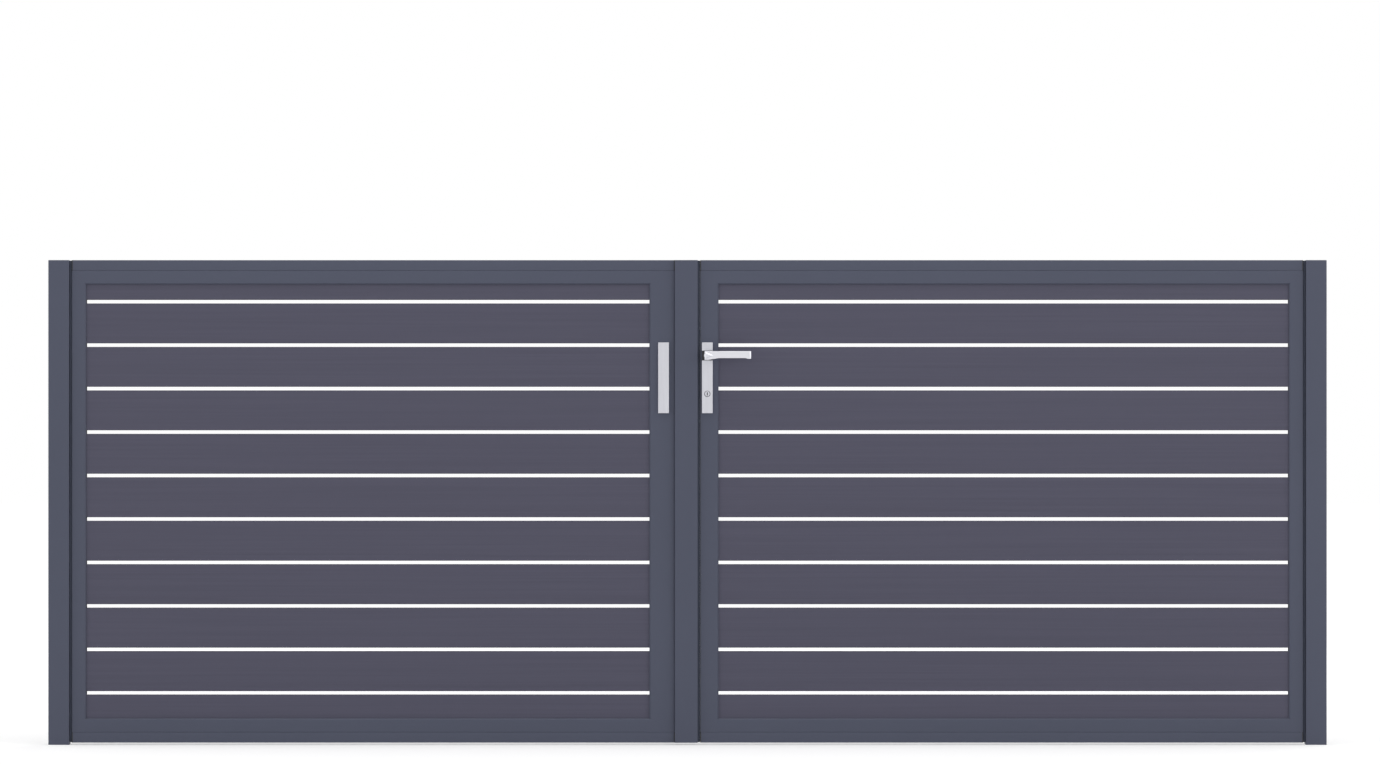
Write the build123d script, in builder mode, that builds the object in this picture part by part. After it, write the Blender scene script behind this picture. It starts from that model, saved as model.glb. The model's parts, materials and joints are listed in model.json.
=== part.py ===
"""Double swing gate: two board leaves in metal frames between two posts.

Millimetres. X runs along the gate, the front faces -Y and Z is up.
The origin is the centre of the left post's foot.
"""

import os

from build123d import *

os.makedirs("parts", exist_ok=True)

# Posts
post_width = 50.0
post_depth = 50.0
post_wall = 3.0
post_edge = 2.5
post_height = 1163.0
foot_thickness = 8.0
cap_thickness = 3.0
cap_spigot = 12.0
cap_fit = 0.2
cap_edge = 1.0

# Layout across the gate
hinge_gap = 6.0
meeting_gap = 6.0
leaf_width = 1447.0
strip_width = 55.0
strip_wall = 2.5
strip_edge = 2.0

# Leaf frame
leaf_depth = 40.0
ground_clearance = 5.0
rail_height = 25.0
channel_height = 33.0
hinge_stile_width = 34.0
left_lock_stile_width = 61.0
right_lock_stile_width = 44.0
frame_wall = 2.5
frame_edge = 1.2
groove_depth = 14.0
lip_depth = 4.0
bevel = 3.0
end_cap_thickness = 2.0
end_cap_spigot = 10.0

# Boards
board_thickness = 28.0
board_height = 95.9
board_gap = 8.5
board_edge = 1.5
board_wall = 3.0
board_web = 2.5
chamber_width = 28.0
board_fit = 0.3
board_engagement = 12.0
bottom_board_visible = 56.6

# Hinges on the rear faces
hinge_heights = (195.0, 895.0)
hinge_height = 70.0
end_knuckle_height = 20.0
knuckle_radius = 8.0
knuckle_gap = 1.0
knuckle_standoff = 4.0
pin_radius = 5.0
pin_clearance = 0.05
pin_head_radius = 6.5
pin_head_height = 2.0
pin_head_edge = 1.2
hinge_plate_thickness = 5.0
hinge_plate_corner = 6.0
hinge_edge = 0.8
post_plate_inset = 3.0
plate_start = 10.0
web_overlap = 6.0
leaf_plate_width = 23.0

# Handle plates, lever and lock
plate_width = 26.0
plate_height = 170.0
plate_thickness = 8.0
plate_edge = 1.0
plate_center_z = 880.5
handle_backset = 17.0
blank_inset = 27.0
spindle_z = 934.0
lock_spacing = 92.0
spindle_size = 7.0
spindle_hole_radius = 6.5
bearing_height = 23.5
bearing_thickness = 5.0
bearing_proud = 1.0
shank_radius = 8.0
shank_clearance = 0.05
lever_clearance = 1.0
lever_projection = 47.0
hub_reach = 6.5
hub_width = 16.0
hub_half_height = 10.5
hub_taper_start = 3.0
hub_taper_end = 26.0
lever_reach = 106.0
bar_thickness = 10.0
bar_top = 10.5
bar_bottom = 6.5
tip_return = 14.0
tip_flare = 1.7
flare_length = 14.0
flare_run = 5.0
outer_bend = 5.0
inner_bend = 4.0
wedge_rise = 2.0
wedge_reach = 14.0
wedge_slope = 50.0
neck_start = 15.0
neck_depth = 1.0
lever_edge = 1.5
lever_lower_edge = 1.0
socket_depth = 18.0
cylinder_radius = 8.5
cylinder_fit = 0.3
cylinder_nose_radius = 6.2
nose_gap = 1.2
cylinder_edge = 0.8
cylinder_proud = 2.0
key_slot_width = 2.4
key_slot_height = 7.5
key_slot_depth = 7.0
lock_case_height = 190.0
lock_case_width = 24.0
lock_case_depth = 16.0
forend_width = 22.0
forend_height = 240.0
lock_fit = 0.2
latch_height = 18.0
latch_width = 12.0
latch_recess = 1.0
latch_offset = 50.0
strike_height = 200.0

# Drop bolt behind the left leaf
bolt_radius = 7.0
bolt_length = 400.0
bolt_raise = 8.0
bolt_inset = 30.0
guide_heights = (110.0, 330.0)
guide_height = 30.0
guide_width = 44.0
guide_wall = 4.0
guide_fit = 0.2
grip_reach = 40.0
grip_drop = 30.0
grip_radius = 5.0
bolt_edge = 2.0

# Positions that follow from the sizes above
post_face = post_width / 2
left_hinge_edge = post_face + hinge_gap
left_lock_edge = left_hinge_edge + leaf_width
strip_end = left_lock_edge + strip_width
right_lock_edge = strip_end + meeting_gap
right_hinge_edge = right_lock_edge + leaf_width
right_post_x = right_hinge_edge + hinge_gap + post_face
post_rear = post_depth / 2
leaf_rear = post_rear
leaf_front = leaf_rear - leaf_depth
leaf_mid = (leaf_front + leaf_rear) / 2
leaf_bottom = ground_clearance
leaf_top = post_height
stile_bottom = leaf_bottom + rail_height
stile_top = leaf_top - rail_height
infill_bottom = stile_bottom + channel_height
infill_top = stile_top - channel_height
board_mouth = board_thickness + 2 * board_fit
frame_void = leaf_depth - 2 * frame_wall
left_infill = (left_hinge_edge + hinge_stile_width, left_lock_edge - left_lock_stile_width)
right_infill = (right_lock_edge + right_lock_stile_width, right_hinge_edge - hinge_stile_width)
axis_y = leaf_rear + knuckle_standoff + knuckle_radius
left_axis_x = post_face + hinge_gap / 2
right_axis_x = right_post_x - post_face - hinge_gap / 2
handle_x = right_lock_edge + handle_backset
blank_x = left_lock_edge - blank_inset
plate_front = leaf_front - plate_thickness
bearing_front = plate_front - bearing_proud
bearing_back = bearing_front + bearing_thickness
cylinder_z = spindle_z - lock_spacing
cylinder_hole_radius = cylinder_radius + cylinder_fit
lock_z = (spindle_z + cylinder_z) / 2
hub_base = bearing_front - lever_clearance
shank_end = bearing_back - lever_clearance
lever_front = plate_front - lever_projection
bolt_x = left_lock_edge - bolt_inset
bolt_y = leaf_rear + guide_wall + bolt_radius
bolt_bottom = leaf_bottom + bolt_raise
center_low = (Align.CENTER, Align.MIN)
rear_mirror = Plane.XZ.offset(-leaf_mid)


def save(part, name):
    """Label a finished piece and write it."""
    part.label = name
    export_step(part, f"parts/{name}.step")


def front_plane(y):
    """Plane facing the front at depth y, with X to the right and Z up."""
    return Plane.XZ.offset(-y)


def post(center_x):
    """Hollow post closed at the foot."""
    with BuildPart() as tube:
        with BuildSketch(Plane.XY) as outline:
            with Locations((center_x, 0)):
                Rectangle(post_width, post_depth)
            fillet(outline.vertices(), post_edge)
        extrude(amount=post_height - cap_thickness)
        with BuildSketch(Plane.XY.offset(foot_thickness)):
            with Locations((center_x, 0)):
                Rectangle(post_width - 2 * post_wall, post_depth - 2 * post_wall)
        extrude(amount=post_height, mode=Mode.SUBTRACT)
    return tube.part


def post_cap(center_x):
    """Flat cap with a spigot inside the post."""
    with BuildPart() as cap:
        with BuildSketch(Plane.XY.offset(post_height - cap_thickness)) as outline:
            with Locations((center_x, 0)):
                Rectangle(post_width, post_depth)
            fillet(outline.vertices(), post_edge)
        extrude(amount=cap_thickness)
        chamfer(cap.faces().sort_by(Axis.Z)[-1].edges(), cap_edge)
        with BuildSketch(Plane.XY.offset(post_height - cap_thickness)):
            with Locations((center_x, 0)):
                inner_width = post_width - 2 * post_wall - 2 * cap_fit
                inner_depth = post_depth - 2 * post_wall - 2 * cap_fit
                Rectangle(inner_width, inner_depth)
        extrude(amount=-cap_spigot)
    return cap.part


def rail(leaf_start, bottom_z):
    """Tube along the whole leaf, short of its end caps."""
    with BuildPart() as tube:
        with BuildSketch(Plane.YZ.offset(leaf_start + end_cap_thickness)) as section:
            with Locations((leaf_mid, bottom_z + rail_height / 2)):
                Rectangle(leaf_depth, rail_height)
            fillet(section.vertices(), frame_edge)
            with Locations((leaf_mid, bottom_z + rail_height / 2)):
                Rectangle(frame_void, rail_height - 2 * frame_wall, mode=Mode.SUBTRACT)
        extrude(amount=leaf_width - 2 * end_cap_thickness)
    return tube.part


def rail_caps(leaf_start):
    """Plugs in the four rail ends of a leaf: a flat face and a spigot in the tube."""
    spigot_depth = frame_void - 2 * cap_fit
    spigot_height = rail_height - 2 * frame_wall - 2 * cap_fit
    centers = [(leaf_mid, low + rail_height / 2) for low in (leaf_bottom, stile_top)]
    with BuildPart() as caps:
        for face_x, inward in ((leaf_start, 1), (leaf_start + leaf_width, -1)):
            with BuildSketch(Plane.YZ.offset(face_x)) as section:
                with Locations(*centers):
                    Rectangle(leaf_depth, rail_height)
                fillet(section.vertices(), frame_edge)
            extrude(amount=inward * end_cap_thickness)
            with BuildSketch(Plane.YZ.offset(face_x + inward * end_cap_thickness)):
                with Locations(*centers):
                    Rectangle(spigot_depth, spigot_height)
            extrude(amount=inward * end_cap_spigot)
    return caps.part


def opening_bevel(infill):
    """Tapered blocks that bevel the frame's inner edges, front and rear."""
    with BuildPart() as blocks:
        center_x = (infill[0] + infill[1]) / 2
        center_z = (infill_bottom + infill_top) / 2
        for face_y, into in ((leaf_front, 1), (leaf_rear, -1)):
            face = Plane(origin=(center_x, face_y, center_z), x_dir=(1, 0, 0), z_dir=(0, into, 0))
            with BuildSketch(face):
                Rectangle(infill[1] - infill[0] + 2 * bevel, infill_top - infill_bottom + 2 * bevel)
            extrude(amount=bevel, taper=45)
    return blocks.part


def channel(infill, outer_z, inward):
    """Board channel between the stiles, its mouth towards the boards."""
    with BuildPart() as profile:
        start = Plane(origin=(infill[0], leaf_mid, outer_z), x_dir=(0, inward, 0), z_dir=(1, 0, 0))
        with BuildSketch(start) as section:
            Rectangle(leaf_depth, channel_height, align=center_low)
            fillet(section.vertices().group_by(Axis.Y)[0], frame_edge)
            with Locations((0, frame_wall)):
                depth = channel_height - frame_wall - lip_depth
                Rectangle(frame_void, depth, align=center_low, mode=Mode.SUBTRACT)
            with Locations((0, channel_height - lip_depth)):
                Rectangle(board_mouth, lip_depth, align=center_low, mode=Mode.SUBTRACT)
        extrude(amount=infill[1] - infill[0])
        add(opening_bevel(infill), mode=Mode.SUBTRACT)
    return profile.part


def stile(infill, edge_x, inward, width):
    """Upright of a leaf: a tube with a board groove on its inner side."""
    tube_width = width - groove_depth
    with BuildPart() as profile:
        start = Plane(origin=(edge_x, leaf_mid, stile_bottom), x_dir=(0, -inward, 0), z_dir=(0, 0, 1))
        with BuildSketch(start) as section:
            Rectangle(leaf_depth, width, align=center_low)
            fillet(section.vertices().group_by(Axis.Y)[0], frame_edge)
            with Locations((0, frame_wall)):
                depth = tube_width - 2 * frame_wall
                Rectangle(frame_void, depth, align=center_low, mode=Mode.SUBTRACT)
            with Locations((0, tube_width)):
                depth = groove_depth - lip_depth
                Rectangle(frame_void, depth, align=center_low, mode=Mode.SUBTRACT)
            with Locations((0, width - lip_depth)):
                Rectangle(board_mouth, lip_depth, align=center_low, mode=Mode.SUBTRACT)
        extrude(amount=stile_top - stile_bottom)
        add(opening_bevel(infill), mode=Mode.SUBTRACT)
    return profile.part


def chamber_count(low, high):
    """Number of hollow chambers in a board of this height."""
    return max(1, round((high - low - 2 * board_wall) / chamber_width))


def chamber_height(low, high):
    """Height of each chamber between the board's walls and webs."""
    count = chamber_count(low, high)
    return (high - low - 2 * board_wall - (count - 1) * board_web) / count


def chamber_centers(low, high):
    """Centres of a board's chambers in its section."""
    height = chamber_height(low, high)
    first = low + board_wall + height / 2
    return [(leaf_mid, first + i * (height + board_web)) for i in range(chamber_count(low, high))]


def boards(infill):
    """Hollow boards from the bottom channel up, the first and last cut to fit."""
    pitch = board_height + board_gap
    first_top = infill_bottom + bottom_board_visible
    full_count = int((infill_top - first_top - board_gap) // pitch)
    spans = [(stile_bottom + frame_wall, first_top)]
    for step in range(full_count):
        low = first_top + board_gap + step * pitch
        spans.append((low, low + board_height))
    spans.append((first_top + board_gap + full_count * pitch, stile_top - frame_wall - board_fit))
    with BuildPart() as panel:
        with BuildSketch(Plane.YZ.offset(infill[0] - board_engagement)) as section:
            for low, high in spans:
                with Locations((leaf_mid, (low + high) / 2)):
                    Rectangle(board_thickness, high - low)
            fillet(section.vertices(), board_edge)
            for low, high in spans:
                with Locations(*chamber_centers(low, high)):
                    height = chamber_height(low, high)
                    Rectangle(board_thickness - 2 * board_wall, height, mode=Mode.SUBTRACT)
        extrude(amount=infill[1] - infill[0] + 2 * board_engagement)
    return panel.part


def hinge_plate(axis_x, side, base_z, length):
    """Plate on a rear face, to one side of the hinge axis, with its far corners rounded."""
    with BuildPart() as plate:
        with BuildSketch(front_plane(leaf_rear)) as outline:
            with Locations((axis_x + side * (plate_start + length / 2), base_z + hinge_height / 2)):
                Rectangle(length, hinge_height)
            fillet(outline.vertices().sort_by(Axis.X, reverse=side > 0)[:2], hinge_plate_corner)
        extrude(amount=-hinge_plate_thickness)
        chamfer(plate.faces().sort_by(Axis.Y)[-1].edges(), hinge_edge)
    return plate.part


def post_hinge(axis_x, side, base_z):
    """Hinge half on the post's rear: plate, two end knuckles and the pin."""
    plate_end = hinge_gap / 2 + post_width - post_plate_inset
    web_length = plate_start + web_overlap
    with BuildPart() as half:
        add(hinge_plate(axis_x, side, base_z, plate_end - plate_start))
        for low in (base_z, base_z + hinge_height - end_knuckle_height):
            with BuildSketch(Plane.XY.offset(low)):
                with Locations((axis_x, axis_y)):
                    Circle(knuckle_radius)
                with Locations((axis_x + side * web_length / 2, axis_y - knuckle_radius / 2)):
                    Rectangle(web_length, knuckle_radius)
            extrude(amount=end_knuckle_height)
        with BuildSketch(Plane.XY.offset(base_z)):
            with Locations((axis_x, axis_y)):
                Circle(pin_radius)
        extrude(amount=hinge_height)
        for low in (base_z - pin_head_height, base_z + hinge_height):
            with BuildSketch(Plane.XY.offset(low)):
                with Locations((axis_x, axis_y)):
                    Circle(pin_head_radius)
            extrude(amount=pin_head_height)
        for head in (half.faces().sort_by(Axis.Z)[0], half.faces().sort_by(Axis.Z)[-1]):
            chamfer(head.edges(), pin_head_edge)
    return half.part


def leaf_hinge(axis_x, side, base_z):
    """Hinge half on the leaf's rear: plate and middle knuckle."""
    web_length = plate_start + web_overlap
    middle_low = base_z + end_knuckle_height + knuckle_gap
    middle_height = hinge_height - 2 * (end_knuckle_height + knuckle_gap)
    with BuildPart() as half:
        add(hinge_plate(axis_x, -side, base_z, leaf_plate_width))
        with BuildSketch(Plane.XY.offset(middle_low)):
            with Locations((axis_x, axis_y)):
                Circle(knuckle_radius)
            with Locations((axis_x - side * web_length / 2, axis_y - knuckle_radius / 2)):
                Rectangle(web_length, knuckle_radius)
        extrude(amount=middle_height)
        with BuildSketch(Plane.XY.offset(middle_low)):
            with Locations((axis_x, axis_y)):
                Circle(pin_radius + pin_clearance)
        extrude(amount=middle_height, mode=Mode.SUBTRACT)
    return half.part


# Posts and caps
save(post(0), "left_post")
save(post(right_post_x), "right_post")
save(post_cap(0), "left_post_cap")
save(post_cap(right_post_x), "right_post_cap")

# Hinges, lower and upper
for level, base in zip(("lower", "upper"), hinge_heights):
    save(post_hinge(left_axis_x, -1, base), f"left_{level}_post_hinge")
    save(post_hinge(right_axis_x, 1, base), f"right_{level}_post_hinge")
    save(leaf_hinge(left_axis_x, -1, base), f"left_{level}_leaf_hinge")
    save(leaf_hinge(right_axis_x, 1, base), f"right_{level}_leaf_hinge")

# Frames and boards of both leaves
for hand, leaf_start, infill in (
    ("left", left_hinge_edge, left_infill),
    ("right", right_lock_edge, right_infill),
):
    save(rail(leaf_start, stile_top), f"{hand}_top_rail")
    save(rail(leaf_start, leaf_bottom), f"{hand}_bottom_rail")
    save(rail_caps(leaf_start), f"{hand}_rail_caps")
    save(channel(infill, stile_top, -1), f"{hand}_top_channel")
    save(channel(infill, stile_bottom, 1), f"{hand}_bottom_channel")
    save(boards(infill), f"{hand}_boards")

save(stile(left_infill, left_hinge_edge, 1, hinge_stile_width), "left_hinge_stile")
save(stile(left_infill, left_lock_edge, -1, left_lock_stile_width), "left_lock_stile")
save(stile(right_infill, right_hinge_edge, -1, hinge_stile_width), "right_hinge_stile")

# Lock stile of the right leaf, with holes for the handle and a window for the lock
with BuildPart() as right_lock_stile:
    add(stile(right_infill, right_lock_edge, 1, right_lock_stile_width))
    with BuildSketch(front_plane(leaf_front)):
        with Locations((handle_x, spindle_z)):
            Circle(spindle_hole_radius)
        with Locations((handle_x, cylinder_z)):
            Circle(cylinder_hole_radius)
    extrude(amount=-leaf_depth, mode=Mode.SUBTRACT)
    with BuildSketch(Plane.YZ.offset(right_lock_edge)):
        with Locations((leaf_mid, lock_z)):
            Rectangle(forend_width + 2 * lock_fit, forend_height + 2 * lock_fit)
    extrude(amount=frame_wall, mode=Mode.SUBTRACT)
save(right_lock_stile.part, "right_lock_stile")

# Mortise lock: a case inside the stile with its forend level with the edge
with BuildPart() as mortise_lock:
    with BuildSketch(Plane.YZ.offset(right_lock_edge)):
        with Locations((leaf_mid, lock_z)):
            Rectangle(forend_width, forend_height)
    extrude(amount=frame_wall)
    with BuildSketch(Plane.YZ.offset(right_lock_edge + frame_wall)):
        with Locations((leaf_mid, lock_z)):
            Rectangle(lock_case_depth, lock_case_height)
    extrude(amount=lock_case_width)
    with BuildSketch(Plane.YZ.offset(right_lock_edge)):
        with Locations((leaf_mid, lock_z + latch_offset), (leaf_mid, lock_z - latch_offset)):
            Rectangle(latch_width, latch_height)
    extrude(amount=latch_recess, mode=Mode.SUBTRACT)
    with BuildSketch(front_plane(leaf_front)):
        with Locations((handle_x, spindle_z)):
            Circle(spindle_hole_radius)
        with Locations((handle_x, cylinder_z)):
            Circle(cylinder_hole_radius)
    extrude(amount=-leaf_depth, mode=Mode.SUBTRACT)
save(mortise_lock.part, "mortise_lock")

# Stop strip on the left leaf, hollow, with a window for the strike plate
with BuildPart() as stop_strip:
    strip_x = left_lock_edge + strip_width / 2
    strip_length = leaf_top - leaf_bottom - 2 * end_cap_thickness
    with BuildSketch(Plane.XY.offset(leaf_bottom + end_cap_thickness)) as section:
        with Locations((strip_x, 0)):
            Rectangle(strip_width, post_depth)
        fillet(section.vertices(), strip_edge)
        with Locations((strip_x, 0)):
            Rectangle(strip_width - 2 * strip_wall, post_depth - 2 * strip_wall, mode=Mode.SUBTRACT)
    extrude(amount=strip_length)
    with BuildSketch(Plane.YZ.offset(strip_end)):
        with Locations((leaf_mid, lock_z)):
            Rectangle(forend_width + 2 * lock_fit, strike_height + 2 * lock_fit)
    extrude(amount=-strip_wall, mode=Mode.SUBTRACT)
save(stop_strip.part, "stop_strip")

# Caps on the strip's ends, with spigots in its hollow
with BuildPart() as strip_caps:
    strip_center = (left_lock_edge + strip_width / 2, 0)
    spigot_inset = 2 * strip_wall + 2 * cap_fit
    for face_z, inward in ((leaf_bottom, 1), (leaf_top, -1)):
        with BuildSketch(Plane.XY.offset(face_z)) as section:
            with Locations(strip_center):
                Rectangle(strip_width, post_depth)
            fillet(section.vertices(), strip_edge)
        extrude(amount=inward * end_cap_thickness)
        with BuildSketch(Plane.XY.offset(face_z + inward * end_cap_thickness)):
            with Locations(strip_center):
                Rectangle(strip_width - spigot_inset, post_depth - spigot_inset)
        extrude(amount=inward * end_cap_spigot)
save(strip_caps.part, "strip_caps")

with BuildPart() as strike_plate:
    with BuildSketch(Plane.YZ.offset(strip_end)):
        with Locations((leaf_mid, lock_z)):
            Rectangle(forend_width, strike_height)
        with Locations((leaf_mid, lock_z + latch_offset), (leaf_mid, lock_z - latch_offset)):
            Rectangle(latch_width, latch_height, mode=Mode.SUBTRACT)
    extrude(amount=-strip_wall)
save(strike_plate.part, "strike_plate")

# Blank plate on the left leaf
with BuildPart() as blank_plate:
    with BuildSketch(front_plane(leaf_front)):
        with Locations((blank_x, plate_center_z)):
            Rectangle(plate_width, plate_height)
    extrude(amount=plate_thickness)
    fillet(blank_plate.faces().sort_by(Axis.Y)[0].edges(), plate_edge)
save(blank_plate.part, "blank_plate")

# Handle plate with a seat for the bearing and two holes
with BuildPart() as front_plate:
    with BuildSketch(front_plane(leaf_front)):
        with Locations((handle_x, plate_center_z)):
            Rectangle(plate_width, plate_height)
    extrude(amount=plate_thickness)
    fillet(front_plate.faces().sort_by(Axis.Y)[0].edges(), plate_edge)
    with BuildSketch(front_plane(bearing_back)):
        with Locations((handle_x, spindle_z)):
            Rectangle(2 * plate_width, bearing_height)
    extrude(amount=bearing_thickness, mode=Mode.SUBTRACT)
    with BuildSketch(front_plane(leaf_front)):
        with Locations((handle_x, spindle_z)):
            Circle(spindle_hole_radius)
        with Locations((handle_x, cylinder_z)):
            Circle(cylinder_nose_radius + nose_gap)
    extrude(amount=plate_thickness, mode=Mode.SUBTRACT)
save(front_plate.part, "front_handle_plate")

with BuildPart() as rear_plate:
    mirror(front_plate.part, about=rear_mirror)
save(rear_plate.part, "rear_handle_plate")

# Bearing that the lever's shank turns in
with BuildPart() as front_bearing:
    with BuildSketch(front_plane(bearing_back)):
        with Locations((handle_x, spindle_z)):
            Rectangle(plate_width, bearing_height)
            Circle(shank_radius + shank_clearance, mode=Mode.SUBTRACT)
    extrude(amount=bearing_thickness)
save(front_bearing.part, "front_lever_bearing")

with BuildPart() as rear_bearing:
    mirror(front_bearing.part, about=rear_mirror)
save(rear_bearing.part, "rear_lever_bearing")

# Lever: a bent bar seen from above, cut to its tapered outline seen from the front
with BuildPart() as front_lever:
    hub_left = handle_x - hub_reach
    hub_right = hub_left + hub_width
    tip = handle_x + lever_reach
    bar_front = lever_front + wedge_rise
    bar_back = bar_front + bar_thickness
    plan = [
        (hub_left, hub_base),
        (hub_left, bar_front),
        (tip, bar_front),
        (tip, bar_back + tip_return),
        (tip - bar_thickness, bar_back + tip_return),
        (tip - bar_thickness, bar_back),
        (hub_right, bar_back),
        (hub_right, hub_base),
    ]
    with BuildSketch(Plane.XY.offset(spindle_z - 2 * hub_half_height)) as bend:
        with BuildLine():
            Polyline(*plan, close=True)
        make_face()
        fillet(bend.vertices().sort_by_distance(plan[2])[0], outer_bend)
        inner = [bend.vertices().sort_by_distance(point)[0] for point in (plan[5], plan[6])]
        fillet(inner, inner_bend)
    extrude(amount=4 * hub_half_height)
    with BuildSketch(front_plane(hub_base)):
        with BuildLine():
            Polyline(
                (hub_left, spindle_z - hub_half_height),
                (handle_x + hub_taper_start, spindle_z - hub_half_height),
                (handle_x + hub_taper_end, spindle_z - bar_bottom),
                (tip - flare_length, spindle_z - bar_bottom),
                (tip - flare_length + flare_run, spindle_z - bar_bottom - tip_flare),
                (tip, spindle_z - bar_bottom - tip_flare),
                (tip, spindle_z + bar_top),
                (hub_left, spindle_z + bar_top),
                close=True,
            )
        make_face()
    extrude(amount=hub_base - bar_front, mode=Mode.INTERSECT)
    fillet(front_lever.faces().sort_by(Axis.Z)[-1].edges(), lever_edge)
    front_rim = front_lever.faces().filter_by(Axis.Y).sort_by(Axis.Y)[0].edges()
    lower_rim = front_rim.filter_by(Axis.Z, reverse=True).filter_by(lambda e: e.center().Z < spindle_z)
    fillet(lower_rim, lever_lower_edge)
    with BuildSketch(front_plane(bar_front)):
        with BuildLine():
            Polyline(
                (hub_left + lever_edge, spindle_z - hub_half_height + lever_edge),
                (handle_x + wedge_reach, spindle_z),
                (hub_left + lever_edge, spindle_z + bar_top - lever_edge),
                close=True,
            )
        make_face()
    extrude(amount=wedge_rise, taper=wedge_slope)
    with BuildSketch(front_plane(bar_front)):
        with Locations((handle_x + (neck_start + hub_taper_end) / 2, spindle_z)):
            Rectangle(hub_taper_end - neck_start, 4 * hub_half_height)
    extrude(amount=-neck_depth, mode=Mode.SUBTRACT)
    with BuildSketch(front_plane(hub_base)):
        with Locations((handle_x, spindle_z)):
            Circle(shank_radius)
    extrude(amount=hub_base - shank_end)
    with BuildSketch(front_plane(shank_end)):
        with Locations((handle_x, spindle_z)):
            Rectangle(spindle_size, spindle_size)
    extrude(amount=socket_depth, mode=Mode.SUBTRACT)
save(front_lever.part, "front_lever")

with BuildPart() as rear_lever:
    mirror(front_lever.part, about=rear_mirror)
save(rear_lever.part, "rear_lever")

with BuildPart() as spindle:
    with BuildSketch(front_plane(leaf_mid)):
        with Locations((handle_x, spindle_z)):
            Rectangle(spindle_size, spindle_size)
    extrude(amount=leaf_mid - shank_end + socket_depth, both=True)
save(spindle.part, "lever_spindle")

# Key cylinder through the stile, with a slimmer nose and a key slot at each end
with BuildPart() as key_cylinder:
    half_length = leaf_mid - plate_front + cylinder_proud
    for radius, half in ((cylinder_radius, leaf_depth / 2), (cylinder_nose_radius, half_length)):
        with BuildSketch(front_plane(leaf_mid)):
            with Locations((handle_x, cylinder_z)):
                Circle(radius)
        extrude(amount=half, both=True)
    for end in (key_cylinder.faces().sort_by(Axis.Y)[0], key_cylinder.faces().sort_by(Axis.Y)[-1]):
        chamfer(end.edges(), cylinder_edge)
    for end_y in (leaf_mid - half_length, leaf_mid + half_length - key_slot_depth):
        with BuildSketch(front_plane(end_y)):
            with Locations((handle_x, cylinder_z)):
                Rectangle(key_slot_width, key_slot_height)
        extrude(amount=-key_slot_depth, mode=Mode.SUBTRACT)
save(key_cylinder.part, "key_cylinder")

# Drop bolt, raised, in two guides behind the left leaf
with BuildPart() as drop_bolt:
    with BuildSketch(Plane.XY.offset(bolt_bottom)):
        with Locations((bolt_x, bolt_y)):
            Circle(bolt_radius)
    extrude(amount=bolt_length)
    with BuildSketch(front_plane(bolt_y)):
        with Locations((bolt_x, bolt_bottom + bolt_length - grip_drop)):
            Circle(grip_radius)
    extrude(amount=-grip_reach)
    for end in (
        drop_bolt.faces().sort_by(Axis.Z)[0],
        drop_bolt.faces().sort_by(Axis.Z)[-1],
        drop_bolt.faces().sort_by(Axis.Y)[-1],
    ):
        chamfer(end.edges(), bolt_edge)
save(drop_bolt.part, "drop_bolt")

with BuildPart() as bolt_guides:
    for low in guide_heights:
        with BuildSketch(Plane.XY.offset(low)):
            with Locations((bolt_x, leaf_rear + guide_wall / 2)):
                Rectangle(guide_width, guide_wall)
            with Locations((bolt_x, bolt_y)):
                Circle(bolt_radius + guide_wall)
                Circle(bolt_radius + guide_fit, mode=Mode.SUBTRACT)
        extrude(amount=guide_height)
save(bolt_guides.part, "bolt_guides")
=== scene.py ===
"""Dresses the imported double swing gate: finishes, seals, screws, lock details and a plain studio."""

import json
import math

import bmesh
import bpy
from bpy.props import FloatProperty, FloatVectorProperty, IntProperty, PointerProperty
from bpy.types import Operator, Panel, PropertyGroup
from mathutils import Matrix, Vector


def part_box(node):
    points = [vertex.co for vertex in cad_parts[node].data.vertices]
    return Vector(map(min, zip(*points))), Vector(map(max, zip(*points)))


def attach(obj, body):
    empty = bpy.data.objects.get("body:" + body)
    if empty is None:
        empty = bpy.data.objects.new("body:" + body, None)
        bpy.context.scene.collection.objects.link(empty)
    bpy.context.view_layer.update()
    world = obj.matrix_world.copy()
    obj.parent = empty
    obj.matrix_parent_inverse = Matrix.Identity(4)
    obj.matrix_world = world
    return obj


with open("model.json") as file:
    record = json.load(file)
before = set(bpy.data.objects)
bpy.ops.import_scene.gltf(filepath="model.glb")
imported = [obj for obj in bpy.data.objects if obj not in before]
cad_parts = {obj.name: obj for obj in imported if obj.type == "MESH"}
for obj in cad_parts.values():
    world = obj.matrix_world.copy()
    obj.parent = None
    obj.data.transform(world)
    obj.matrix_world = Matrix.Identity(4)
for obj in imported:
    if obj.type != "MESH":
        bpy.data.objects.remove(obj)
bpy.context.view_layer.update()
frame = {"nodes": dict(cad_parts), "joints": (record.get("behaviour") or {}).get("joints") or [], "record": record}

bl_info = {
    "name": "Double swing gate",
    "version": (1, 0, 0),
    "blender": (4, 5, 0),
    "location": "View3D > Sidebar > Gate",
    "description": "Dresses a double swing gate with its finishes, seals, screws and lock details",
    "category": "Object",
}

NODES = frame["nodes"]
MM = 0.001
SMOOTH_ANGLE = math.radians(32)
REAR = Vector((0, 1, 0))
TOWARDS_LEFT = Vector((-1, 0, 0))
TOWARDS_RIGHT = Vector((1, 0, 0))
DOWN = Vector((0, 0, -1))
HINGES = ("left_lower", "left_upper", "right_lower", "right_upper")

# Distances in metres within which points are joined
NODE_MERGE = 1e-6
PIECE_MERGE = 1e-7

# Range in which most of a noise field lies
NOISE_LOW, NOISE_HIGH = 0.3, 0.7

# Places of the colour mix node's sockets, several of which share a name
MIX_LOW, MIX_HIGH, MIX_RESULT = 6, 7, 2

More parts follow.
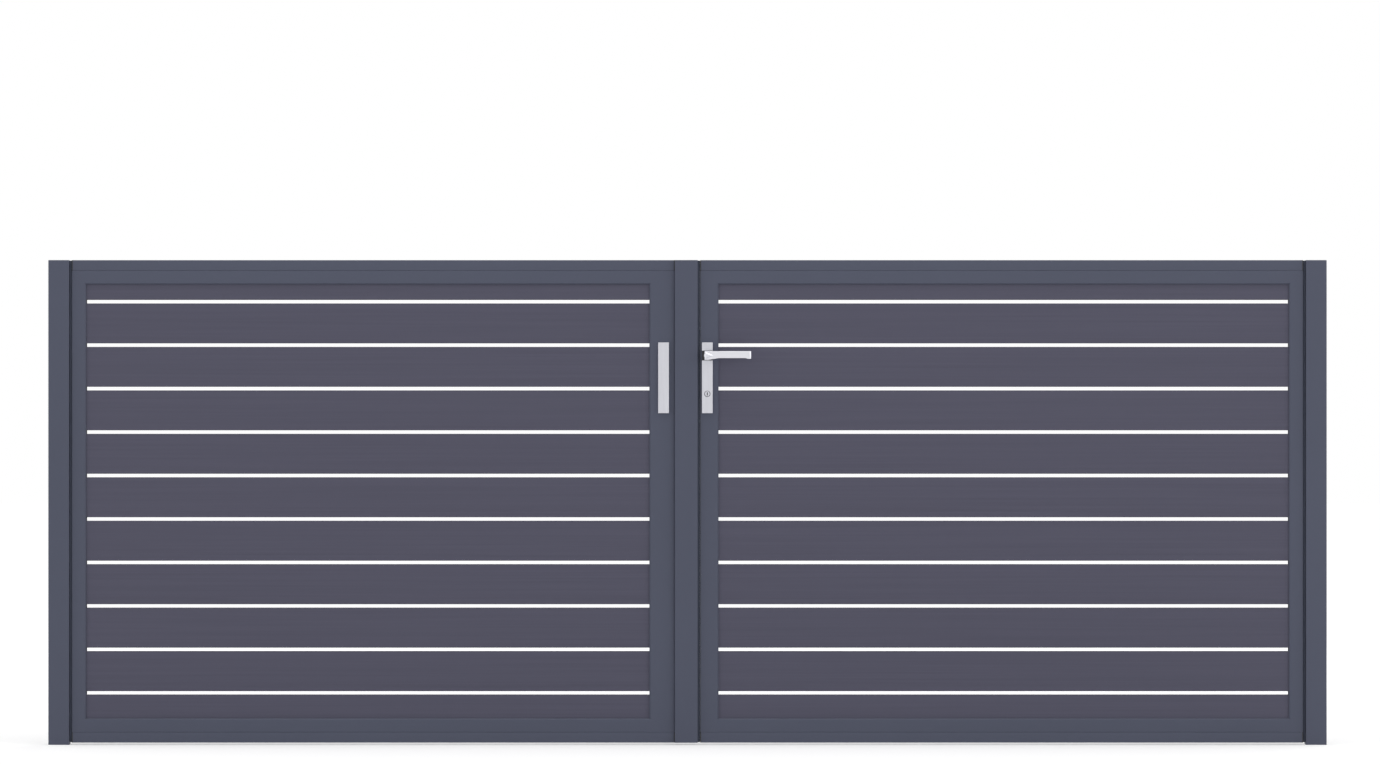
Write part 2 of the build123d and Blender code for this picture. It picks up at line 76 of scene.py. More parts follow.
# Domed screw head: rise as a share of its height and width as a share of the ring below
HEAD_STEPS = ((0.35, 1.0), (0.35, 0.90), (0.22, 0.78), (0.08, 0.80))
SOCKET_SIDES = 6
SOCKET_RADIUS = 0.42
SOCKET_DEPTH = 0.7
SOCKET_TAPER = 0.96

# Sides of the round pieces
BULB_SIDES = 24
RING_SIDES = 48
FLOOR_SIDES = 96

# Camera sensor in millimetres and farthest distance seen in metres
SENSOR_WIDTH = 36.0
SIGHT_END = 200.0


def colour_setting(label, about, value):
    """Colour property in scene linear values."""
    return FloatVectorProperty(
        name=label, description=about, subtype="COLOR", size=3, min=0, max=1, default=value
    )


def length_setting(label, about, value):
    """Length property in metres."""
    return FloatProperty(name=label, description=about, unit="LENGTH", default=value)


def share_setting(label, about, value):
    """Property from 0 to 1."""
    return FloatProperty(name=label, description=about, subtype="FACTOR", min=0, max=1, default=value)


def power_setting(label, about, value):
    """Power property in watts."""
    return FloatProperty(name=label, description=about, unit="POWER", default=value)


def place_setting(label, about, value):
    """Place property in metres."""
    return FloatVectorProperty(name=label, description=about, subtype="TRANSLATION", size=3, default=value)


def size_setting(label, about, value):
    """Width and height property in metres."""
    return FloatVectorProperty(name=label, description=about, unit="LENGTH", size=2, default=value)


class FinishSettings(PropertyGroup):
    """Colours and surface values of the gate's finishes."""

    frame_colour: colour_setting("Frame", "Powder coat of posts and frames", (0.080, 0.0885, 0.129))
    board_colour: colour_setting("Boards", "Composite boards", (0.0895, 0.0875, 0.127))
    plate_colour: colour_setting("Plates", "Brushed handle plates", (0.575, 0.577, 0.62))
    lever_colour: colour_setting("Levers", "Satin lever handles", (0.69, 0.69, 0.73))
    zinc_colour: colour_setting("Zinc", "Zinc plated hinges and bolt", (0.50, 0.51, 0.53))
    plastic_colour: colour_setting("Plastic", "Black caps and bearings", (0.020, 0.020, 0.024))
    rubber_colour: colour_setting("Rubber", "Rubber seals", (0.088, 0.100, 0.138))
    frame_roughness: share_setting("Frame roughness", "Roughness of the powder coat", 0.48)
    board_roughness: share_setting("Board roughness", "Roughness of the boards", 0.62)


class SealSettings(PropertyGroup):
    """Sizes of the rubber seals in the leaf gaps."""

    clearance: length_setting("Clearance", "Gap between a seal and what it faces", 0.05 * MM)
    lip_clearance: length_setting("Lip clearance", "Gap in front of the meeting lip", 0.8 * MM)
    flange: length_setting("Flange", "Thickness of a seal's flat base", 0.8 * MM)
    flange_depth: length_setting("Flange depth", "Depth of a seal's flat base", 9.0 * MM)
    bulb_depth: length_setting("Bulb depth", "Depth of a seal's round bulb", 7.0 * MM)
    hinge_y: length_setting("Hinge seal place", "Depth at which the hinge seals sit", -9.0 * MM)
    lip_y: length_setting("Lip place", "Depth at which the meeting lip sits", -10.5 * MM)
    meeting_y: length_setting("Meeting seal place", "Depth at which the meeting seal sits", 20.5 * MM)
    end_inset: length_setting("End inset", "How far a seal stops short of the leaf's ends", 1.0 * MM)


class ScrewSettings(PropertyGroup):
    """Sizes and places of the screw heads."""

    hinge_radius: length_setting("Hinge screw", "Head radius of the hinge screws", 5.0 * MM)
    small_radius: length_setting("Small screw", "Head radius of the lock and guide screws", 3.4 * MM)
    grub_radius: length_setting("Grub screw", "Radius of the lever's grub screw", 2.2 * MM)
    grub_reach: length_setting("Grub place", "Distance of the grub screw from the bearing", 14.0 * MM)
    dome: share_setting("Dome", "Height of a head as a share of its radius", 0.45)
    grub_dome: share_setting("Grub dome", "Height of the grub screw as a share of its radius", 0.15)
    segments: IntProperty(name="Segments", description="Sides of a screw head", min=12, max=48, default=24)
    hinge_plate: length_setting("Hinge plate", "Thickness of the hinge plates", 5.0 * MM)
    inner_column: length_setting("Inner column", "Post's inner screws from the hinge axis", 23.5 * MM)
    outer_column: length_setting("Outer column", "Post's outer screws from the hinge axis", 41.0 * MM)
    leaf_column: length_setting("Leaf column", "Leaf's screws from the hinge axis", 24.0 * MM)
    post_end: length_setting("Post screw end", "Post's screws from the hinge's ends", 14.0 * MM)
    leaf_end: length_setting("Leaf screw end", "Leaf's outer screws from the hinge's ends", 11.0 * MM)
    lock_end: length_setting("Lock screw end", "Screws of forend and strike from their ends", 9.0 * MM)
    plate_end: length_setting("Plate screw end", "Rear plate's screws from its ends", 10.0 * MM)
    guide_plate: length_setting("Guide plate", "Thickness of the bolt guides' plates", 4.0 * MM)
    guide_side: length_setting("Guide screw side", "Screws of a guide from its middle", 16.5 * MM)
    guide_end: length_setting("Guide screw end", "Screws of a guide from its end", 15.0 * MM)


class CylinderSettings(PropertyGroup):
    """Sizes of the details at the key cylinder's ends."""

    # The dust ring is black so that it paints the shade of the groove round the cylinder's nose
    ring_inner: length_setting("Ring inside", "Inner radius of the dust ring", 6.25 * MM)
    ring_outer: length_setting("Ring outside", "Outer radius of the dust ring", 7.35 * MM)
    ring_depth: length_setting("Ring depth", "Depth of the dust ring below the plate", 0.4 * MM)
    ring_width: length_setting("Ring width", "Length of the dust ring along the cylinder", 3.0 * MM)
    # The keyway sizes are those of a dark block of painted shade inside the keyway
    key_width: length_setting("Keyway width", "Width of the dark keyway", 2.3 * MM)
    key_height: length_setting("Keyway height", "Height of the dark keyway", 7.4 * MM)
    key_depth: length_setting("Keyway depth", "Depth of the filling below the cylinder's end", 0.8 * MM)
    key_length: length_setting("Keyway length", "Length of the keyway's filling", 4.0 * MM)


class StageSettings(PropertyGroup):
    """Camera and light."""

    view_width: length_setting("View width", "Width that the picture covers at the leaves", 3.312)
    view_x: length_setting("View centre", "Place of the picture's centre along the gate", 1.5145)
    view_z: length_setting("View height", "Height of the picture's centre", 0.8693)
    distance: length_setting("Distance", "Distance of the camera from the leaves", 20.0)
    key_power: power_setting("Key", "Power of the right softbox", 220.0)
    fill_power: power_setting("Fill", "Power of the left softbox", 140.0)
    top_power: power_setting("Top", "Power of the overhead softbox", 110.0)
    rear_power: power_setting("Rear", "Power of the rear softbox", 90.0)
    key_place: place_setting("Key place", "Place of the right softbox", (10.5, -7.0, 3.0))
    fill_place: place_setting("Fill place", "Place of the left softbox", (-7.5, -7.0, 3.0))
    rear_place: place_setting("Rear place", "Place of the rear softbox", (3.6, 6.0, 4.4))
    top_y: length_setting("Top place", "Depth at which the overhead softbox hangs", -1.2)
    top_z: length_setting("Top height", "Height of the overhead softbox", 5.2)
    aim_z: length_setting("Aim height", "Height that the softboxes face", 0.6)
    side_size: size_setting("Side size", "Width and height of the right and left softbox", (11.0, 5.0))
    top_size: size_setting("Top size", "Width and depth of the overhead softbox", (7.0, 4.4))
    rear_size: size_setting("Rear size", "Width and height of the rear softbox", (5.0, 3.0))
    sky: FloatProperty(name="Sky", description="Level of the light from all round", min=0, default=0.54)
    floor_radius: length_setting("Floor", "Radius of the floor", 40.0)
    floor_colour: colour_setting("Floor colour", "Colour of the floor", (0.86, 0.86, 0.86))
    near_reach: length_setting("Near floor", "Distance at which the floor's glow starts to rise", 2.5)
    far_reach: length_setting("Far floor", "Distance at which the floor's glow is full", 7.0)
    near_glow: share_setting("Near glow", "Glow of the floor round the gate", 0.32)
    far_glow: share_setting("Far glow", "Glow of the floor far from the gate", 0.56)


def new_material(name):
    """A material with its main shader."""
    material = bpy.data.materials.new(name)
    material.use_nodes = True
    return material, material.node_tree.nodes["Principled BSDF"]


def noise_field(material, waves, detail, roughness=0.5):
    """Noise on Object coordinates with its own number of waves per metre along each axis."""
    tree = material.node_tree
    place = tree.nodes.new("ShaderNodeTexCoord")
    mapping = tree.nodes.new("ShaderNodeMapping")
    noise = tree.nodes.new("ShaderNodeTexNoise")
    mapping.inputs["Scale"].default_value = waves
    noise.inputs["Scale"].default_value = 1.0
    noise.inputs["Detail"].default_value = detail
    noise.inputs["Roughness"].default_value = roughness
    tree.links.new(place.outputs["Object"], mapping.inputs["Vector"])
    tree.links.new(mapping.outputs["Vector"], noise.inputs["Vector"])
    return noise.outputs["Fac"]


def spread_to(material, field, low, high):
    """Field spread from its usual range to low and high."""
    tree = material.node_tree
    spread = tree.nodes.new("ShaderNodeMapRange")
    spread.inputs["From Min"].default_value = NOISE_LOW
    spread.inputs["From Max"].default_value = NOISE_HIGH
    spread.inputs["To Min"].default_value = low
    spread.inputs["To Max"].default_value = high
    tree.links.new(field, spread.inputs["Value"])
    return spread.outputs["Result"]


def vary_colour(material, shader, field, colour, share):
    """Base colour that a field makes darker or lighter by a share."""
    tree = material.node_tree
    mix = tree.nodes.new("ShaderNodeMix")
    mix.data_type = "RGBA"
    mix.inputs[MIX_LOW].default_value = [value * (1 - share) for value in colour] + [1]
    mix.inputs[MIX_HIGH].default_value = [min(1, value * (1 + share)) for value in colour] + [1]
    tree.links.new(spread_to(material, field, 0, 1), mix.inputs["Factor"])
    tree.links.new(mix.outputs[MIX_RESULT], shader.inputs["Base Color"])


def add_bump(material, shader, field, strength, depth):
    """Relief from a field."""
    tree = material.node_tree
    bump = tree.nodes.new("ShaderNodeBump")
    bump.inputs["Strength"].default_value = strength
    bump.inputs["Distance"].default_value = depth
    tree.links.new(field, bump.inputs["Height"])
    tree.links.new(bump.outputs["Normal"], shader.inputs["Normal"])


def vary_roughness(material, shader, field, low, high):
    """Roughness that a field moves between two values."""
    material.node_tree.links.new(spread_to(material, field, low, high), shader.inputs["Roughness"])


def powder_coat(settings):
    """Satin powder coat with a fine, even texture."""
    material, shader = new_material("powder_coat")
    shader.inputs["Specular IOR Level"].default_value = 0.3
    clouds = noise_field(material, waves=(2.2, 2.2, 2.2), detail=4.0)
    vary_colour(material, shader, clouds, settings.frame_colour, share=0.025)
    rough = settings.frame_roughness
    patches = noise_field(material, waves=(160, 160, 160), detail=3.0)
    vary_roughness(material, shader, patches, low=rough - 0.05, high=rough + 0.05)
    texture = noise_field(material, waves=(900, 900, 900), detail=2.0)
    add_bump(material, shader, texture, strength=0.12, depth=0.25 * MM)
    return material


def composite_board(settings):
    """Matte composite with fine lines along the board."""
    material, shader = new_material("composite_board")
    shader.inputs["Specular IOR Level"].default_value = 0.25
    streaks = noise_field(material, waves=(1.6, 40, 210), detail=6.0, roughness=0.62)
    vary_colour(material, shader, streaks, settings.board_colour, share=0.06)
    rough = settings.board_roughness
    bands = noise_field(material, waves=(5, 80, 420), detail=4.0)
    vary_roughness(material, shader, bands, low=rough - 0.06, high=rough + 0.06)
    lines = noise_field(material, waves=(6, 300, 620), detail=5.0, roughness=0.6)
    add_bump(material, shader, lines, strength=0.16, depth=0.3 * MM)
    return material


def brushed_steel(name, colour, waves, roughness, grain):
    """Steel with brush lines along the axes of fewest waves, as marked as the grain says."""
    material, shader = new_material(name)
    shader.inputs["Metallic"].default_value = 1.0
    lines = noise_field(material, waves, detail=5.0, roughness=0.6)
    vary_colour(material, shader, lines, colour, share=0.045 * grain)
    vary_roughness(material, shader, lines, low=roughness - 0.06 * grain, high=roughness + 0.08 * grain)
    add_bump(material, shader, lines, strength=0.06 * grain, depth=0.1 * MM)
    return material


def zinc_plate(settings):
    """Zinc plated steel with a faint mottle."""
    material, shader = new_material("zinc_plate")
    shader.inputs["Metallic"].default_value = 1.0
    mottle = noise_field(material, waves=(130, 130, 130), detail=5.0, roughness=0.6)
    vary_colour(material, shader, mottle, settings.zinc_colour, share=0.12)
    vary_roughness(material, shader, mottle, low=0.30, high=0.46)
    texture = noise_field(material, waves=(700, 700, 700), detail=3.0)
    add_bump(material, shader, texture, strength=0.08, depth=0.15 * MM)
    return material


def moulded_plastic(settings):
    """Black plastic with a fine moulded grain."""
    material, shader = new_material("moulded_plastic")
    grain = noise_field(material, waves=(1400, 1400, 1400), detail=3.0)
    vary_colour(material, shader, grain, settings.plastic_colour, share=0.15)
    vary_roughness(material, shader, grain, low=0.48, high=0.62)
    add_bump(material, shader, grain, strength=0.2, depth=0.15 * MM)
    return material


def seal_rubber(settings):
    """Dull grey rubber."""
    material, shader = new_material("seal_rubber")
    shader.inputs["Specular IOR Level"].default_value = 0.2
    dust = noise_field(material, waves=(220, 220, 60), detail=4.0)
    vary_colour(material, shader, dust, settings.rubber_colour, share=0.08)
    vary_roughness(material, shader, dust, low=0.7, high=0.85)
    texture = noise_field(material, waves=(900, 900, 300), detail=3.0)
    add_bump(material, shader, texture, strength=0.15, depth=0.15 * MM)
    return material


def round_shading(node):
    """Join a node's loose triangles when shown, so that its curved faces shade smoothly."""
    node.data.polygons.foreach_set("use_smooth", [True] * len(node.data.polygons))
    weld = node.modifiers.new("weld", "WELD")
    weld.merge_threshold = NODE_MERGE
    split = node.modifiers.new("split", "EDGE_SPLIT")
    split.split_angle = SMOOTH_ANGLE
    split.use_edge_sharp = False


def place_along(normal, point):
    """Matrix that stands a shape's own Z along a normal at a point."""
    turn = normal.to_track_quat("Z", "Y").to_matrix().to_4x4()
    return Matrix.Translation(point) @ turn


def finished_piece(bm, name, material, body):
    """Turn a bmesh into a piece that rides on a body."""
    bmesh.ops.remove_doubles(bm, verts=bm.verts, dist=PIECE_MERGE)
    bmesh.ops.recalc_face_normals(bm, faces=bm.faces)
    mesh = bpy.data.meshes.new(name)
    bm.to_mesh(mesh)
    bm.free()
    mesh.shade_smooth()
    mesh.set_sharp_from_angle(angle=SMOOTH_ANGLE)
    mesh.materials.append(material)
    piece = bpy.data.objects.new(name, mesh)
    bpy.context.scene.collection.objects.link(piece)
    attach(piece, body)


def moved_edges(extruded):
    """Edges that an extrusion made."""
    return [item for item in extruded["geom"] if isinstance(item, bmesh.types.BMEdge)]


def moved_verts(extruded):
    """Vertices that an extrusion made."""
    return [item for item in extruded["geom"] if isinstance(item, bmesh.types.BMVert)]


def ring_step(bm, edges, rise, scale):
    """Extrude a ring of edges up by rise and scale it about the Z axis."""
    extruded = bmesh.ops.extrude_edge_only(bm, edges=edges)
    verts = moved_verts(extruded)
    bmesh.ops.translate(bm, verts=verts, vec=(0, 0, rise))
    bmesh.ops.scale(bm, verts=verts, vec=(scale, scale, 1))
    return moved_edges(extruded)


def add_screw(bm, place, radius, dome, segments):
    """Domed head with a six-sided socket, standing on its own Z axis."""
    height = radius * dome
    head = bmesh.new()
    bmesh.ops.create_circle(head, segments=segments, radius=radius)
    crown = list(head.edges)
    bmesh.ops.edgeloop_fill(head, edges=crown)
    for rise, scale in HEAD_STEPS:
        crown = ring_step(head, crown, height * rise, scale)
    before = set(head.edges)
    socket = bmesh.ops.create_circle(head, segments=SOCKET_SIDES, radius=radius * SOCKET_RADIUS)
    bmesh.ops.translate(head, verts=socket["verts"], vec=(0, 0, height))
    mouth = [edge for edge in head.edges if edge not in before]
    bmesh.ops.bridge_loops(head, edges=crown + mouth)
    floor = ring_step(head, mouth, -height * SOCKET_DEPTH, SOCKET_TAPER)
    bmesh.ops.edgeloop_fill(head, edges=floor)
    bmesh.ops.recalc_face_normals(head, faces=head.faces)
    bmesh.ops.transform(head, matrix=place, verts=head.verts)
    part = bpy.data.meshes.new("screw")
    head.to_mesh(part)
    head.free()
    bm.from_mesh(part)
    bpy.data.meshes.remove(part)


def screw_piece(name, spots, normal, radius, dome, body, material):
    """One piece with a screw head at each spot."""
    segments = bpy.context.scene.gate_screws.segments
    bm = bmesh.new()
    for spot in spots:
        add_screw(bm, place_along(normal, Vector(spot)), radius, dome, segments)
    finished_piece(bm, name, material, body)


def add_seal(name, wall_x, face_x, center_y, clearance, bottom, top, body):
    """Flat flange on one wall with a bulb that reaches towards the facing wall."""
    settings = bpy.context.scene.gate_seals
    towards = 1 if face_x > wall_x else -1
    bulb_start = wall_x + towards * settings.flange * 0.5
    bulb_end = face_x - towards * clearance
    bm = bmesh.new()
    bulb = bmesh.ops.create_circle(bm, segments=BULB_SIDES, radius=0.5, cap_ends=True)
    bmesh.ops.scale(bm, verts=bulb["verts"], vec=(abs(bulb_end - bulb_start), settings.bulb_depth, 1))
    bmesh.ops.translate(bm, verts=bulb["verts"], vec=((bulb_start + bulb_end) / 2, center_y, bottom))
    flange = bmesh.ops.create_circle(bm, segments=4, radius=math.sqrt(0.5), cap_ends=True)
    bmesh.ops.rotate(bm, verts=flange["verts"], matrix=Matrix.Rotation(math.pi / 4, 3, "Z"))
    bmesh.ops.scale(bm, verts=flange["verts"], vec=(settings.flange, settings.flange_depth, 1))
    middle = wall_x + towards * settings.flange / 2
    bmesh.ops.translate(bm, verts=flange["verts"], vec=(middle, center_y, bottom))
    sides = bmesh.ops.extrude_face_region(bm, geom=list(bm.faces), use_keep_orig=True)
    bmesh.ops.translate(bm, verts=moved_verts(sides), vec=(0, 0, top - bottom))
    finished_piece(bm, name, bpy.data.materials["seal_rubber"], body)


class GATE_OT_finishes(Operator):
    """Give every node of the gate its finish"""

    bl_idname = "gate.finishes"
    bl_label = "Finishes"

    def execute(self, context):
        settings = context.scene.gate_finishes
        plate = brushed_steel(
            "brushed_plate", settings.plate_colour, waves=(900, 900, 14), roughness=0.34, grain=1.0
        )
        lever = brushed_steel(
            "satin_lever", settings.lever_colour, waves=(24, 36, 1500), roughness=0.31, grain=0.35
        )
        zinc = zinc_plate(settings)
        seal_rubber(settings)
        by_slot = {
            "frame": powder_coat(settings),
            "board": composite_board(settings),
            "black_plastic": moulded_plastic(settings),
            "steel": zinc,
        }
        own = {
            "front_lever": lever,
            "rear_lever": lever,
            "front_handle_plate": plate,
            "rear_handle_plate": plate,
            "blank_plate": plate,
            "strike_plate": plate,
            "mortise_lock": plate,
            "key_cylinder": plate,
        }
        for row in frame["record"]["subparts"]:
            node = NODES[row["node"]]
            node.data.materials.clear()
            node.data.materials.append(own.get(row["node"], by_slot[row["material_slot"]]))
            round_shading(node)
        return {"FINISHED"}


class GATE_OT_seals(Operator):
    """Make the rubber seals in the hinge gaps and the meeting gap"""

    bl_idname = "gate.seals"
    bl_label = "Seals"

    def execute(self, context):
        settings = context.scene.gate_seals
        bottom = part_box("left_bottom_rail")[0].z + settings.end_inset
        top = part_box("left_top_rail")[1].z - settings.end_inset
        left_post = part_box("left_post")[1].x
        right_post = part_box("right_post")[0].x
        left_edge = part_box("left_hinge_stile")[0].x
        right_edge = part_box("right_hinge_stile")[1].x
        strip_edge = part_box("stop_strip")[1].x
        lock_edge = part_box("right_lock_stile")[0].x
        close, open_lip = settings.clearance, settings.lip_clearance
        seals = (
            ("left_hinge_seal", left_edge, left_post, settings.hinge_y, close, "left_leaf"),
            ("right_hinge_seal", right_edge, right_post, settings.hinge_y, close, "right_leaf"),
            ("meeting_lip", strip_edge, lock_edge, settings.lip_y, open_lip, "left_leaf"),
            ("meeting_seal", strip_edge, lock_edge, settings.meeting_y, close, "left_leaf"),
        )
        for name, wall_x, face_x, center_y, clearance, body in seals:
            add_seal(name, wall_x, face_x, center_y, clearance, bottom, top, body)
        return {"FINISHED"}


class GATE_OT_hinge_screws(Operator):
    """Make the screw heads on the hinge plates"""

    bl_idname = "gate.hinge_screws"
    bl_label = "Hinge screws"

    def execute(self, context):
        settings = context.scene.gate_screws
        material = bpy.data.materials["zinc_plate"]
        axes = {joint["name"]: joint["pos_m"][0] for joint in frame["joints"]}
        radius, dome = settings.hinge_radius, settings.dome
        plate_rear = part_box("left_post")[1].y + settings.hinge_plate
        for hinge in HINGES:
            hand = hinge.split("_")[0]
            outward = -1 if hand == "left" else 1
            axis_x = axes[f"{hand}_leaf_swing"]
            low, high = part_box(f"{hinge}_leaf_hinge")
            on_post = [
                (axis_x + outward * across, plate_rear, z)
                for across in (settings.inner_column, settings.outer_column)
                for z in (low.z + settings.post_end, high.z - settings.post_end)
            ]
            on_leaf = [
                (axis_x - outward * settings.leaf_column, plate_rear, z)
                for z in (low.z + settings.leaf_end, (low.z + high.z) / 2, high.z - settings.leaf_end)
            ]
            screw_piece(f"{hinge}_post_screws", on_post, REAR, radius, dome, "posts", material)
            screw_piece(f"{hinge}_leaf_screws", on_leaf, REAR, radius, dome, f"{hand}_leaf", material)
        return {"FINISHED"}


class GATE_OT_lock_screws(Operator):
    """Make the screw heads on the lock, the strike, the rear plate, the levers and the bolt guides"""

    bl_idname = "gate.lock_screws"
    bl_label = "Lock screws"

    def execute(self, context):
        settings = context.scene.gate_screws
        steel = bpy.data.materials["brushed_plate"]
        zinc = bpy.data.materials["zinc_plate"]
        radius, dome = settings.small_radius, settings.dome
        low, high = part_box("mortise_lock")
        middle_y = (low.y + high.y) / 2
        spots = [(low.x, middle_y, z) for z in (low.z + settings.lock_end, high.z - settings.lock_end)]
        screw_piece("forend_screws", spots, TOWARDS_LEFT, radius, dome, "right_leaf", steel)
        low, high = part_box("strike_plate")
        spots = [(high.x, middle_y, z) for z in (low.z + settings.lock_end, high.z - settings.lock_end)]
        screw_piece("strike_screws", spots, TOWARDS_RIGHT, radius, dome, "left_leaf", steel)
        low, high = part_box("rear_handle_plate")
        middle_x = (low.x + high.x) / 2
        spots = [(middle_x, high.y, z) for z in (low.z + settings.plate_end, high.z - settings.plate_end)]
        screw_piece("rear_plate_screws", spots, REAR, radius, dome, "right_leaf", steel)
        low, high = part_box("bolt_guides")
        middle_x = (low.x + high.x) / 2
        plate_rear = low.y + settings.guide_plate
        columns = (middle_x - settings.guide_side, middle_x + settings.guide_side)
        levels = (low.z + settings.guide_end, high.z - settings.guide_end)
        spots = [(x, plate_rear, z) for x in columns for z in levels]
        screw_piece("guide_screws", spots, REAR, radius, dome, "left_leaf", zinc)
        spindle = next(joint for joint in frame["joints"] if joint["name"] == "lever_turn")
        levers = (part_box("front_lever"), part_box("rear_lever"))
        bearings = (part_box("front_lever_bearing")[0].y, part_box("rear_lever_bearing")[1].y)
        spots = [
            (spindle["pos_m"][0], bearing + away * settings.grub_reach, low.z)
            for (low, high), bearing, away in zip(levers, bearings, (-1, 1))
        ]
        screw_piece("grub_screws", spots, DOWN, settings.grub_radius, settings.grub_dome, "lever", zinc)
        return {"FINISHED"}


class GATE_OT_cylinder_details(Operator):
    """Make the dust ring and the keyway's block of painted shade at both ends of the key cylinder; the ring's
    black paints the groove's shade
    """

    bl_idname = "gate.cylinder_details"
    bl_label = "Cylinder details"

    def execute(self, context):
        settings = context.scene.gate_cylinder
        low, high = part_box("key_cylinder")
        center_x, center_z = (low.x + high.x) / 2, (low.z + high.z) / 2
        ends = (
            ("front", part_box("front_handle_plate")[0].y, low.y, -REAR),
            ("rear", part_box("rear_handle_plate")[1].y, high.y, REAR),
        )
        for name, plate_y, end_y, outward in ends:
            shade_ring_place = Vector((center_x, plate_y, center_z)) - outward * settings.ring_depth
            # Black ring in the groove: painted shade of the gap round the cylinder's nose
            self.make_shade_ring(f"{name}_groove_shade_ring", place_along(outward, shade_ring_place), settings)
            # Dark block of painted shade inside the keyway
            key_place = Vector((center_x, end_y, center_z)) - outward * settings.key_depth
            self.make_keyway_shade(f"{name}_keyway", key_place, outward, settings)
        return {"FINISHED"}

    def make_shade_ring(self, name, place, settings):
        """Rubber ring in the groove round the cylinder's nose, black so that it paints the groove's shade."""
        bm = bmesh.new()
        bmesh.ops.create_circle(bm, segments=RING_SIDES, radius=settings.ring_outer)
        outer = list(bm.edges)
        inner = ring_step(bm, outer, 0, settings.ring_inner / settings.ring_outer)
        bore = ring_step(bm, inner, -settings.ring_width, 1.0)
        back = ring_step(bm, bore, 0, settings.ring_outer / settings.ring_inner)
        bmesh.ops.bridge_loops(bm, edges=outer + back)
        bmesh.ops.transform(bm, matrix=place, verts=bm.verts)
        finished_piece(bm, name, bpy.data.materials["moulded_plastic"], "right_leaf")

    def make_keyway_shade(self, name, place, outward, settings):
        """Dark filling that stands for the keyway's shaded inside."""
        bm = bmesh.new()
        block = bmesh.ops.create_cube(bm, size=1.0)
        size = (settings.key_width, settings.key_length, settings.key_height)
        bmesh.ops.scale(bm, verts=block["verts"], vec=size)
        bmesh.ops.translate(bm, verts=block["verts"], vec=place - outward * settings.key_length / 2)
        finished_piece(bm, name, bpy.data.materials["moulded_plastic"], "right_leaf")


def add_softbox(name, place, target, size, power):
    """Soft rectangular lamp that faces a target."""
    lamp = bpy.data.lights.new(name, "AREA")
    lamp.shape = "RECTANGLE"
    lamp.size, lamp.size_y = size
    lamp.energy = power
    box = bpy.data.objects.new(name, lamp)
    box.location = place
    box.visible_camera = False
    box.rotation_euler = (Vector(target) - Vector(place)).to_track_quat("-Z", "Y").to_euler()
    bpy.context.scene.collection.objects.link(box)


def seen_directly(tree):
    """Factor that is 1 for what the camera, a reflection or a clear material sees."""
    path = tree.nodes.new("ShaderNodeLightPath")
    first = tree.nodes.new("ShaderNodeMath")
    first.operation = "MAXIMUM"
    second = tree.nodes.new("ShaderNodeMath")
    second.operation = "MAXIMUM"
    tree.links.new(path.outputs["Is Camera Ray"], first.inputs[0])
    tree.links.new(path.outputs["Is Glossy Ray"], first.inputs[1])
    tree.links.new(first.outputs[0], second.inputs[0])
    tree.links.new(path.outputs["Is Transmission Ray"], second.inputs[1])
    return second.outputs[0]


